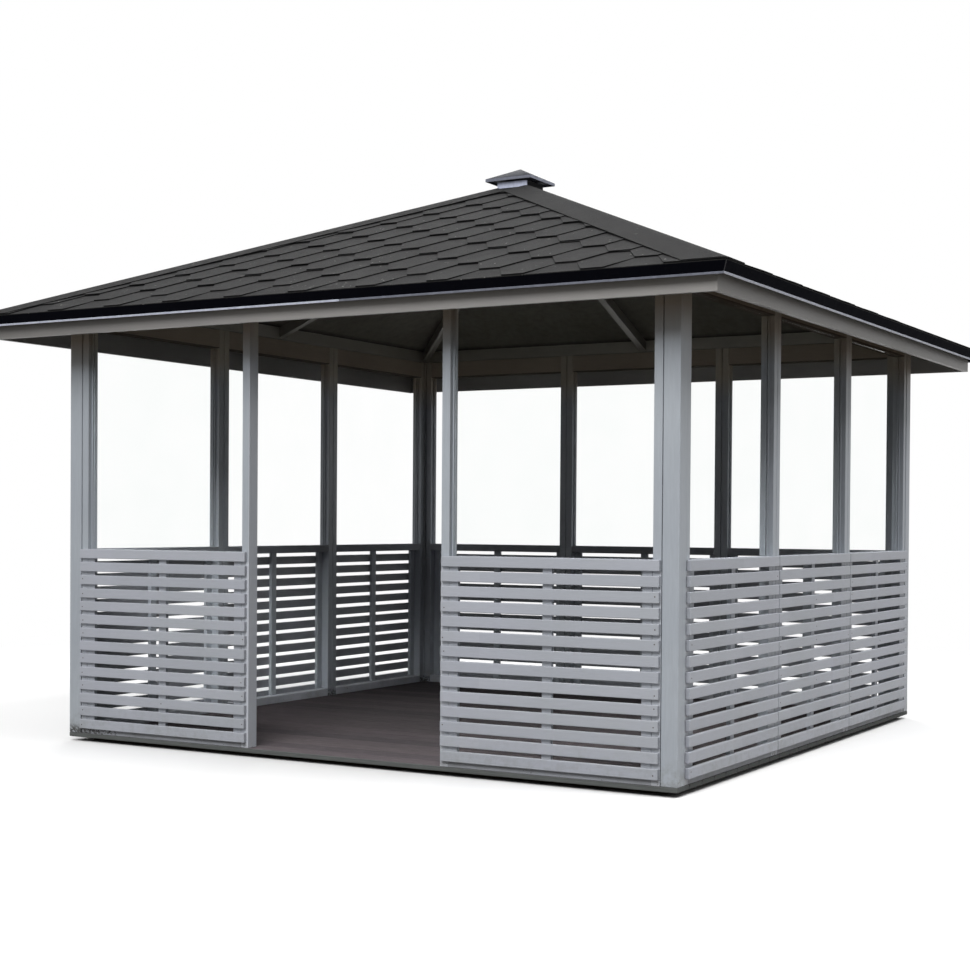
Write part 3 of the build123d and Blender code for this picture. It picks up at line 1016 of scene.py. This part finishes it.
def bent_strip(width, thickness):
    """A strip bent over the front right hip, with black cut edges."""
    hip = Vector((HALF_EAVE, -HALF_EAVE, -HALF_EAVE * math.tan(PITCH)))
    along = hip.normalized()
    front_normal = Vector((0, -math.sin(PITCH), math.cos(PITCH)))
    right_normal = Vector((math.sin(PITCH), 0, math.cos(PITCH)))
    front_side = along.cross(front_normal).normalized()
    right_side = right_normal.cross(along).normalized()
    ridge = (front_normal + right_normal).normalized()
    begin = along * ((COLLAR_BOX[1][0] + CAP_START) / along.x)
    bm = bmesh.new()
    profile = []
    for share, rise in CAP_PROFILE:
        across, normal = (front_side, front_normal) if share < 0 else (right_side, right_normal)
        if share == 0:
            normal = ridge
        point = Vector((0, 0, ROOF_APEX)) + begin + across * (abs(share) * width)
        profile.append(bm.verts.new(point + normal * (CAP_LIFT + rise)))
    edges = [bm.edges.new(pair) for pair in zip(profile, profile[1:])]
    drawn = bmesh.ops.extrude_edge_only(bm, edges=edges)
    moved = [item for item in drawn["geom"] if isinstance(item, bmesh.types.BMVert)]
    bmesh.ops.translate(bm, vec=hip + along * CAP_OVERRUN - begin, verts=moved)
    bmesh.ops.recalc_face_normals(bm, faces=bm.faces)
    bm.normal_update()
    bmesh.ops.reverse_faces(bm, faces=[face for face in bm.faces if face.normal.z < 0])
    bmesh.ops.solidify(bm, geom=bm.faces[:], thickness=thickness)
    bm.normal_update()
    for face in bm.faces:
        if min(edge.calc_length() for edge in face.edges) < thickness * 1.2:
            face.material_index = 1 if abs(face.normal.z) < 0.8 else 0
    return bm


class GAZEBO_OT_hip_caps(bpy.types.Operator):
    """Bends the cap strips over the hips"""

    bl_idname = "gazebo.hip_caps"
    bl_label = "Hip caps"

    def execute(self, context):
        roof = context.scene.gazebo_roof
        trim = HALF_EAVE - ROOF_TRIM
        for turn, corner in enumerate(CORNERS):
            width = roof.cap_width + random.Random(CAP_SEED + turn).uniform(*CAP_SPREAD)
            bm = bent_strip(width, roof.cap_thickness)
            cut_at(bm, (0, -trim, 0), (0, -1, 0))
            cut_at(bm, (trim, 0, 0), (1, 0, 0))
            turn_to(bm, turn)
            name, covered = "cap_strip_" + corner, "hip_cap_" + corner
            piece(name, bm, ["mineral_felt", "cut_felt"], (covered,))
        return {"FINISHED"}


def add_mitred(target, side, slot, *blocks):
    """Adds blocks laid along the eave, cut at both hips, to one side of the roof."""
    bm = bmesh.new()
    for low, high, arris in blocks:
        block(bm, low, high, arris)
    bmesh.ops.transform(bm, matrix=slope_matrix(), verts=bm.verts)
    cut_at_hips(bm, 0.0)
    for face in bm.faces:
        face.material_index = slot
    turn_to(bm, side)
    mesh = mesh_of("mitred", bm)
    target.from_mesh(mesh)
    bpy.data.meshes.remove(mesh)


class GAZEBO_OT_flashing(bpy.types.Operator):
    """Folds the eave flashing and its bare hem"""

    bl_idname = "gazebo.flashing"
    bl_label = "Eave flashing"

    def execute(self, context):
        hem = context.scene.gazebo_roof.hem
        reach = HALF_EAVE + FLASHING_LAP
        eave = SLOPE_LENGTH
        top = FLASHING_TOP
        bottom = top - (SHINGLE_BOX[0][2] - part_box("eave_flashing")[0][2]) / math.cos(PITCH)
        sheets, hems = bmesh.new(), bmesh.new()
        for side, lap in enumerate(FLASHING_LAPS):
            lengths = ((-reach, lap + FLASHING_LAP, 0.0), (lap, reach, LAP_OUT))
            for number, (x0, x1, out) in enumerate(lengths):
                outside = eave + SHEET + out
                face = (x0, eave + SEAM, bottom + hem * HEM_LAP), (x1, outside, top)
                flange = (x0, eave - FLANGE, top - SHEET), (x1, outside - SEAM, top)
                add_mitred(sheets, side, 0, (*face, 0.0), (*flange, 0.0))
                # Painted highlight on the right and left sides' hems; on the front and back the
                # left length is brighter too.
                bright_and_highlit = 1 if number == 0 or side % 2 else 0
                edge = (x0, eave - HEM_BACK, bottom), (x1, eave + HEM_FACE + out, bottom + hem)
                add_mitred(hems, side, bright_and_highlit, (*edge, HEM_ARRIS))
        covered = ("eave_flashing",)
        piece("flashing_sheet", sheets, ["black_sheet"], covered)
        piece("flashing_hem", hems, ["hem_metal", "bright_hem"], covered)
        return {"FINISHED"}


def pyramid_hood():
    """A low pyramid over a folded edge, hollow underneath."""
    low, high = HOOD_BOX
    edge = HOOD_EDGE
    bm = bmesh.new()
    block(bm, low, (high[0], high[1], low[2] + edge))
    bm.normal_update()
    top = [face for face in bm.faces if face.normal.z > 0.9]
    bottom = [face for face in bm.faces if face.normal.z < -0.9]
    bmesh.ops.inset_region(bm, faces=bottom, thickness=HOOD_SHEET, depth=0.0)
    sunk = [face for face in bm.faces if face.normal.z < -0.9 and face.calc_area() > 0.02]
    bmesh.ops.inset_region(bm, faces=sunk, thickness=HOOD_FOLD, depth=0.0)
    bmesh.ops.translate(bm, vec=(0, 0, edge * 0.6), verts=sunk[0].verts[:])
    peak = bmesh.ops.poke(bm, faces=top)["verts"]
    bmesh.ops.translate(bm, vec=(0, 0, high[2] - low[2] - edge), verts=peak)
    ridges = [
        item
        for item in bm.edges
        if any(vert in peak for vert in item.verts)
        or all(abs(vert.co.z - low[2] - edge) < 1e-5 for vert in item.verts)
    ]
    ease(bm, ridges, HOOD_ARRIS)
    bmesh.ops.recalc_face_normals(bm, faces=bm.faces)
    bm.normal_update()
    # One sheet in three shades by face: darker slopes, a lighter front and back band, and still
    # lighter side flanks with more dirt, as painted light and shade.
    for face in bm.faces:
        face.material_index = 0
        if face.normal.z < 0.6:
            face.material_index = 1 if abs(face.normal.y) > abs(face.normal.x) else 2
    return bm


class GAZEBO_OT_vent(bpy.types.Operator):
    """Folds the hood of the roof vent and puts the mesh in its collar"""

    bl_idname = "gazebo.vent"
    bl_label = "Roof vent"

    def execute(self, context):
        finishes = ["hood_sheet", "hood_band", "hood_flank"]
        piece("vent_cover", pyramid_hood(), finishes, ("vent_hood",), True)
        low, high = COLLAR_BOX
        half = high[0]
        bm = bmesh.new()
        for side in (SIDES.index("right"), SIDES.index("left")):
            start = len(bm.verts)
            near = (MESH_INSET - half, -half - MESH_OUT, low[2] + MESH_FOOT)
            block(bm, near, (half - MESH_INSET, -half + MESH_IN, high[2] - MESH_HEAD))
            turn_to(bm, side, start)
        piece("vent_side_mesh", bm, ["vent_mesh"])
        return {"FINISHED"}


NODE_FINISHES = {
    "floor_bearers": "bearer_timber",
    "wall_plate": "plate_paint",
    "roof_rafters": "rafter_paint",
    "roof_boarding": "ceiling_stain",
    "fascia": "fascia_paint",
    "glass": "clear_glass",
    "vent_collar": "pale_sheet",
    "floor_deck": "deck_timber",
    "corner_post": "upright_paint",
    "bay_frame": "upright_paint",
    "slat_screen": "slat_paint",
    "shingles": "mineral_felt",
    "hip_cap": "mineral_felt",
    "eave_flashing": "black_sheet",
    "vent_hood": "bare_sheet",
}


class GAZEBO_OT_finishes(bpy.types.Operator):
    """Gives every piece of the frame its finish"""

    bl_idname = "gazebo.finishes"
    bl_label = "Finishes"

    def execute(self, context):
        for name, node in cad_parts.items():
            starts = [start for start in NODE_FINISHES if name.startswith(start)]
            if not starts:
                raise RuntimeError("no finish for " + name)
            material = finish_of(NODE_FINISHES[starts[0]])
            for slot in node.material_slots:
                slot.material = material
        return {"FINISHED"}


def make_floor():
    """A dark floor that looks white, and takes the object's shade near by."""
    bm = bmesh.new()
    bmesh.ops.create_grid(bm, x_segments=1, y_segments=1, size=FLOOR_HALF)
    floor = placed("stage_floor", mesh_of("stage_floor", bm))
    n = Nodes("stage_floor")
    n.finish((0.085, 0.078, 0.068, 1.0), 0.9)
    seen = n.put("ShaderNodeBsdfDiffuse", {"Color": (0.93, 0.93, 0.93, 1.0)})
    white = n.put("ShaderNodeEmission", {"Color": WHITE, "Strength": 1.0})
    length = n.put("ShaderNodeVectorMath", {0: n.coords}, operation="LENGTH")
    pale = n.blend(n.step(length.outputs["Value"], *FLOOR_FADE), seen, white)
    n.show(n.blend(n.view_rays(), n.shader, pale))
    floor.data.materials.append(n.material)


def make_sky(scene):
    """A dome that lights from above, and a white background for the view."""
    scene.world = bpy.data.worlds.new("studio")
    sky = Graph(scene.world, "Background", "World Output", "Generated")
    sky.feed(sky.shader, "Color", WHITE)
    sky.feed(sky.shader, "Strength", sky.step(sky.part("Z"), *SKY_RISE, *SKY_LIGHT))
    white = sky.put("ShaderNodeBackground", {"Color": WHITE, "Strength": 1.0})
    sky.show(sky.blend(sky.view_rays(), sky.shader, white))


def make_lamp(name, place, power):
    """A square lamp turned to the middle of the gazebo."""
    data = bpy.data.lights.new(name, "AREA")
    data.shape = "SQUARE"
    data.size = LAMP_SIZE
    data.energy = power
    lamp = placed(name, data)
    lamp.location = place
    lamp.rotation_euler = (Vector(LAMP_AIM) - place).to_track_quat("-Z", "Y").to_euler()


def make_camera(scene):
    """The camera at the photograph's eye point."""
    data = bpy.data.cameras.new("view")
    data.sensor_width = 36.0
    data.lens = LENS
    data.shift_x, data.shift_y = LENS_SHIFT
    data.clip_end = 200.0
    camera = placed("view", data)
    yaw, pitch, roll = (math.radians(angle) for angle in YAW_PITCH_ROLL)
    aim = Matrix.Rotation(yaw, 4, "Z") @ Matrix.Rotation(math.pi / 2 + pitch, 4, "X")
    aim = aim @ Matrix.Rotation(roll, 4, "Z")
    camera.matrix_world = Matrix.Translation(EYE) @ aim
    scene.camera = camera


class GAZEBO_OT_stage(bpy.types.Operator):
    """Sets the floor, the lights and the camera"""

    bl_idname = "gazebo.stage"
    bl_label = "Stage"

    def execute(self, context):
        scene = context.scene
        scene.view_settings.view_transform = "Standard"
        make_floor()
        make_sky(scene)
        for name, place, power in LAMPS:
            make_lamp(name, Vector(place), power)
        make_camera(scene)
        return {"FINISHED"}


class GAZEBO_PT_panel(bpy.types.Panel):
    """Lists the gazebo's sizes, colours and steps"""

    bl_idname = "GAZEBO_PT_panel"
    bl_label = "Garden gazebo"
    bl_space_type = "VIEW_3D"
    bl_region_type = "UI"
    bl_category = "Gazebo"

    def draw(self, context):
        layout = self.layout
        for group in GROUPS:
            box = layout.box()
            settings = getattr(context.scene, group)
            for key in settings.__annotations__:
                box.prop(settings, key)
        for step in STEPS:
            layout.operator(step.bl_idname)


GROUPS = {
    "gazebo_walls": GazeboWallSizes,
    "gazebo_roof": GazeboRoofSizes,
    "gazebo_colours": GazeboColours,
}
STEPS = (
    GAZEBO_OT_finishes,
    GAZEBO_OT_posts,
    GAZEBO_OT_bay_frames,
    GAZEBO_OT_slats,
    GAZEBO_OT_nails,
    GAZEBO_OT_beads,
    GAZEBO_OT_deck,
    GAZEBO_OT_shingles,
    GAZEBO_OT_hip_caps,
    GAZEBO_OT_flashing,
    GAZEBO_OT_vent,
    GAZEBO_OT_stage,
)
CLASSES = (*GROUPS.values(), *STEPS, GAZEBO_PT_panel)


def register():
    for item in CLASSES:
        bpy.utils.register_class(item)
    for name, group in GROUPS.items():
        setattr(bpy.types.Scene, name, PointerProperty(type=group))


def unregister():
    for name in GROUPS:
        delattr(bpy.types.Scene, name)
    for item in reversed(CLASSES):
        bpy.utils.unregister_class(item)


def main():
    register()
    for step in STEPS:
        group, name = step.bl_idname.split(".")
        getattr(getattr(bpy.ops, group), name)()


if __name__ == "__main__":
    main()
